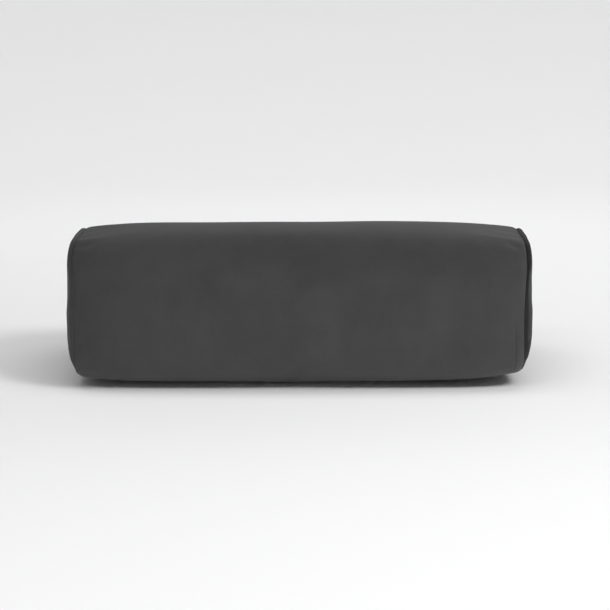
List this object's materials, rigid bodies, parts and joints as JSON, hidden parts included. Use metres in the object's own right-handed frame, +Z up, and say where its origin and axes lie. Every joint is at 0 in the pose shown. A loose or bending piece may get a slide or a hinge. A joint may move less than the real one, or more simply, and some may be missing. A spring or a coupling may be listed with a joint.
{
  "type": "bolster pillow",
  "caption": "Long rectangular bolster pillow: a suede-like cover with softly rounded edges and puffed end panels, a zip along the back, and a lined foam and wadding cushion inside.",
  "frame": {"origin": "centre of the flat face that the bolster rests on", "axes": "+X along the length towards the end where the zip shuts, +Y towards the back face with the zip, +Z up"},
  "size_m": [0.66, 0.3046, 0.2],
  "materials": {
    "cover_suede": "matte brushed microfibre",
    "cover_thread": "matte thread",
    "zip_tape": "matte woven tape",
    "zip_coil": "satin nylon",
    "zip_metal": "satin black nickel",
    "lining_cotton": "plain woven cotton",
    "lining_thread": "matte thread",
    "wadding": "soft fibre",
    "foam": "open-cell foam"
  },
  "bodies": {
    "cover": {"batting_end_left": "wadding", "batting_end_right": "wadding", "batting_wrap": "wadding", "cover_body": "cover_suede", "cover_end_left": "cover_suede", "cover_end_right": "cover_suede", "end_seam_thread_left": "cover_thread", "end_seam_thread_right": "cover_thread", "foam_core": "foam", "liner_body": "lining_cotton", "liner_closing_thread": "lining_thread", "liner_end_left": "lining_cotton", "liner_end_right": "lining_cotton", "zip_bottom_stop": "zip_metal", "zip_coil_lower": "zip_coil", "zip_coil_upper": "zip_coil", "zip_stitch_lower": "cover_thread", "zip_stitch_upper": "cover_thread", "zip_tape_lower": "zip_tape", "zip_tape_upper": "zip_tape", "zip_top_stops": "zip_metal"},
    "slider": {"zip_slider": "zip_metal"},
    "pull": {"zip_pull": "zip_metal"}
  },
  "joints": [
    {"name": "zip_travel", "type": "slide", "parent": "cover", "child": "slider", "axis": [1, 0, 0], "range_m": [-0.4596, 0]},
    {"name": "pull_swing", "type": "hinge", "parent": "slider", "child": "pull", "pos_m": [0.2298, 0.15275, 0.07], "axis": [0, 0, -1], "range_deg": [0, 180]}
  ]
}
